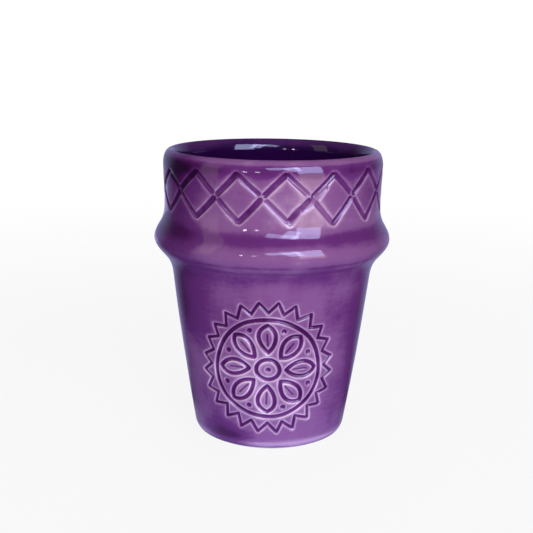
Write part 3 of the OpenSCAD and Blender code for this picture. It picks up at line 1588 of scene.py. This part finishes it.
@dataclass
class FiredBody:
    """The fired clay. Only its foot shows, and under the coats it stays clear of the cuts.

    Past a short start above the glaze's lower edge, its outside draws in over a run to its full
    inset. What the coats hide is drawn with every fourth or third point of the profile.
    """

    form: CupForm
    inset: float = 1.0
    inset_start: float = 0.3
    inset_run: float = 3.0
    inner_inset: float = 0.25
    outer_stride: int = 4
    inner_stride: int = 3
    edge_round: float = 0.5
    edge_steps: int = 6
    columns: int = 200

    def build(self, clay: BareClay) -> bpy.types.Object:
        """Build the body.

        Args:
            clay: The finish.

        Returns:
            The body's object.
        """
        form = self.form
        outside = form.clay_outside()
        depth = self.inset * np.clip((along(outside) - self.inset_start) / self.inset_run, 0, 1)
        under = outside - outward(outside) * depth[:, None]
        inside = form.clay_inside()
        inner = inside - outward(inside) * self.inner_inset
        inner[-1, 0] = 0.0
        below_lip = under[:, 1] < inner[0, 1]
        ring = np.array([form.foot_in_r, 0.0])
        slope = (form.recess_edge - ring) / np.linalg.norm(form.recess_edge - ring)
        handles = [ring + slope * self.edge_round, ring, ring, ring + (self.edge_round, 0)]
        outline = np.vstack([
            [[0.0, form.recess_depth]],
            [form.recess_edge],
            bezier(handles, self.edge_steps),
            form.corner(-90, form.glaze_angle),
            under[below_lip][::self.outer_stride],
            inner[::self.inner_stride],
            inner[-1:],
        ])
        piece = turned("fired_clay_body", outline, self.columns)
        finish_piece(piece, "clay_body", clay.material())
        return piece


@dataclass(frozen=True)
class Lamp:
    """A soft rectangular lamp, placed by the angles at which the collar sees it.

    Azimuth is counted from the front towards +X. Wide and high are angles too, in degrees.
    A mirrored lamp only shows in the glaze. The others light the cup and leave no mark in it.
    """

    name: str
    azimuth: float
    elevation: float
    distance: float
    wide: float
    high: float
    radiance: float
    colour: str
    roll: float = 0.0
    mirrored: bool = True


def mirrored_share(add: partial, rays: bpy.types.NodeOutputs) -> bpy.types.Node:
    """1 for a ray that was mirrored or let through, and 0 for any other."""
    return add(MATH, (rays["Is Glossy Ray"], rays["Is Transmission Ray"]), operation="MAXIMUM")


@dataclass
class Studio:
    """Pale floor, soft lamps and the camera that sees the cup as it was photographed.

    The camera sees white all round. The glaze mirrors a table with a dim room over it, which
    gets lighter towards the back, and the floor near the cup gives it a cool bounce.
    """

    lamps: tuple[Lamp, ...] = (
        Lamp("window", 37, 18.2, 1.1, 26, 30.4, 8.8, "#cbcfff"),
        Lamp("window_edge", 19.5, 21.5, 1.1, 14, 21, 8.0, "#cbcfff", roll=20),
        Lamp("window_corner", 10, 26.5, 1.1, 31, 12, 6.8, "#cbcfff", roll=14),
        Lamp("window_sill", 37, -4.6, 0.42, 26, 14.6, 2.6, "#ffe2c4"),
        Lamp("left_wall", -65, 14, 0.45, 20, 50, 0.8, "#f2e0c6"),
        Lamp("left_haze", -149, -12.5, 0.3, 24, 9, 0.5, "#c4b8f0"),
        Lamp("sparkle_low", -27, 8, 0.4, 2.8, 4.0, 20.0, "#ffffff", roll=30),
        Lamp("sparkle_high", -15, 8, 0.4, 3.4, 3.2, 14.0, "#ffffff", roll=-20),
        Lamp("window_glow", 30, 12, 1.1, 40, 40, 3.2, "#faf3fa", mirrored=False),
        Lamp("front_fill", 0, 22, 1.3, 50, 40, 2.7, "#fff3ee", mirrored=False),
        Lamp("overhead", 0, 85, 1.2, 50, 50, 0.5, "#ffffff", mirrored=False),
        Lamp("back_fill", 180, 18, 1.3, 50, 34, 1.1, "#ffffff", mirrored=False),
    )
    collar: Point = (0.0, 0.0, 0.09)
    camera_place: Point = (-0.00182, -0.3592, 0.14305)
    camera_pitch: float = 12.79
    camera_roll: float = 0.794
    camera_lens: float = 67.54
    camera_clip: tuple[float, float] = (0.01, 50.0)
    sensor: float = 36.0
    floor_half: float = 6.0
    floor_paint: float = 0.8
    floor_glow: float = 0.87
    fade_reach: tuple[float, float] = (0.12, 0.6)
    world_level: float = 0.25
    bounce: str = "#98b4f6"
    bounce_level: float = 0.9
    bounce_reach: tuple[float, float] = (0.05, 0.2)
    room_front: str = "#34343f"
    room_back: str = "#9b9dcc"
    table_near: str = "#a39cc0"
    table_near_reach: tuple[float, float] = (0.028, 0.05)
    room_turn: tuple[float, float] = (0.42, 0.85)
    room_top: tuple[float, float] = (0.2, 0.75)

    def build(self) -> None:
        """Build the floor, the lamps, the world and the camera."""
        self._floor()
        for lamp in self.lamps:
            self._lamp(lamp)
        self._world()
        self._camera()
        bpy.context.scene.view_settings.view_transform = "Standard"

    def _room(self, add: partial, share: bpy.types.Node) -> bpy.types.Node:
        """Colour of the room in the glaze, by how far towards its back."""
        return add(MIX, {0: share, 6: linear(self.room_front), 7: linear(self.room_back)}, **COLOURS)

    def _floor(self) -> None:
        """Lay a plain white floor that keeps the cup's shadow, and that the glaze mirrors as a table."""
        half = self.floor_half / MM
        corners = np.array([[-half, -half, 0], [half, -half, 0], [half, half, 0], [-half, half, 0]])
        floor = mesh_object("studio_floor", corners, faces=[[0, 1, 2, 3]])
        made, principled, add = new_material("white_floor")
        made.node_tree.nodes.remove(principled)
        rays = add("ShaderNodeLightPath").outputs
        place = add("ShaderNodeTexCoord").outputs["Object"]
        away = add("ShaderNodeVectorMath", (place,), operation="LENGTH")
        # What the camera sees: paint in the cup's shade, and white towards the horizon
        share = add(RANGE, (away, *self.fade_reach, self.floor_glow, 1.0), **EASED)
        glow_share = add(MATH, (rays["Is Camera Ray"], share), operation="MULTIPLY")
        paint = add("ShaderNodeBsdfDiffuse", {"Color": (*[self.floor_paint] * 3, 1.0)})
        glow = add("ShaderNodeEmission", {"Strength": 1.0})
        seen = add("ShaderNodeMixShader", (glow_share, paint, glow))
        # What lights the cup: a cool bounce from near by
        near = add(RANGE, (away, *self.bounce_reach, self.bounce_level, 0.0), **EASED)
        level = add(MATH, (rays["Is Diffuse Ray"], near), operation="MULTIPLY")
        bounce = add("ShaderNodeEmission", {"Color": linear(self.bounce), "Strength": level})
        lit = add("ShaderNodeAddShader", (seen, bounce))
        # What the glaze mirrors: a pale table close by, and the room's floor past it
        axes = add("ShaderNodeSeparateXYZ", (place,))
        turn = add(MATH, (axes.outputs["Y"], away), operation="DIVIDE")
        room = self._room(add, add(RANGE, (turn, *self.room_turn), **EASED))
        beside = add(RANGE, (away, *self.table_near_reach), **EASED)
        shown = add(MIX, {0: beside, 6: linear(self.table_near), 7: room}, **COLOURS)
        table = add("ShaderNodeEmission", {"Color": shown, "Strength": 1.0})
        both = add("ShaderNodeMixShader", (mirrored_share(add, rays), lit, table))
        fill_inputs(made.node_tree.nodes["Material Output"], {"Surface": both})
        floor.data.materials.append(made)
        floor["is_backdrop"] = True

    def _lamp(self, lamp: Lamp) -> None:
        """Place one lamp and turn it to the cup.

        Args:
            lamp: The lamp.
        """
        data = bpy.data.lights.new(lamp.name, "AREA")
        data.shape = "RECTANGLE"
        data.size, data.size_y = [
            2 * lamp.distance * math.tan(math.radians(angle / 2)) for angle in (lamp.wide, lamp.high)
        ]
        # The power of a flat lamp is its radiance times pi and its area
        data.energy = lamp.radiance * math.pi * data.size * data.size_y
        data.color = linear(lamp.colour)[:3]
        made = new_object(lamp.name, data)
        turn, rise = math.radians(lamp.azimuth), math.radians(lamp.elevation)
        out = np.array([math.sin(turn) * math.cos(rise), -math.cos(turn) * math.cos(rise), math.sin(rise)])
        made.location = np.array(self.collar) + out * lamp.distance
        aim = Euler((math.pi / 2 - rise, 0, turn)).to_matrix()
        made.rotation_euler = (aim @ Matrix.Rotation(math.radians(lamp.roll), 3, "Z")).to_euler()
        made.visible_camera = False
        made.visible_glossy = lamp.mirrored
        made.visible_diffuse = not lamp.mirrored

    def _world(self) -> None:
        """Make a world that is white for the camera, a dim room in the glaze, and a soft light."""
        world = bpy.data.worlds.new("studio")
        world.use_nodes = True
        bpy.context.scene.world = world
        add = partial(add_node, world.node_tree)
        rays = add("ShaderNodeLightPath").outputs
        axes = add("ShaderNodeSeparateXYZ", (add("ShaderNodeTexCoord").outputs["Generated"],))
        behind = add(RANGE, (axes.outputs["Y"], *self.room_turn), **EASED)
        below = add(RANGE, (axes.outputs["Z"], *self.room_top, 1.0, 0.0), **EASED)
        share = add(MATH, (behind, below), operation="MULTIPLY")
        soft = (*[self.world_level] * 3, 1.0)
        room = add(MIX, {0: mirrored_share(add, rays), 6: soft, 7: self._room(add, share)}, **COLOURS)
        seen = add(MIX, {0: rays["Is Camera Ray"], 6: room, 7: (1.0, 1.0, 1.0, 1.0)}, **COLOURS)
        fill_inputs(world.node_tree.nodes["Background"], {"Color": seen})

    def _camera(self) -> None:
        """Set up the camera that the photograph's outline gives."""
        data = bpy.data.cameras.new("photo_camera")
        data.lens, data.sensor_width = self.camera_lens, self.sensor
        data.clip_start, data.clip_end = self.camera_clip
        made = new_object("photo_camera", data)
        made.location = self.camera_place
        tilt = Euler((math.radians(90 - self.camera_pitch), 0, 0)).to_matrix()
        made.rotation_euler = (tilt @ Matrix.Rotation(math.radians(self.camera_roll), 3, "Z")).to_euler()
        bpy.context.scene.camera = made


def write_sizes() -> None:
    """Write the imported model's box and the dressed model's box as plain lists."""
    boxes = [[list(corner) for corner in box] for box in (CAD_BOX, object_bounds())]
    log.info("boxes: %s", boxes)


def main() -> None:
    """Build the cup's pieces and the studio in order."""
    logging.basicConfig(level=logging.INFO, format="%(name)s: %(message)s")
    Studio().build()
    form = CupForm()
    surface = CupSurface(form)
    rows = RowMaker()
    drawings = [LozengeBand().draw(rows, surface), PetalRosette().draw(rows)]
    strokes = lay_on_cup(drawings, surface, HandWobble())
    OutsideCoat(form).build(strokes, OUTSIDE_GLAZE)
    remove(strokes.values())
    InsideCoat(form).build(LINING_GLAZE)
    RecessCoat(form).build(RECESS_GLAZE)
    FiredBody(form).build(BareClay())
    write_sizes()


if __name__ == "__main__":
    main()
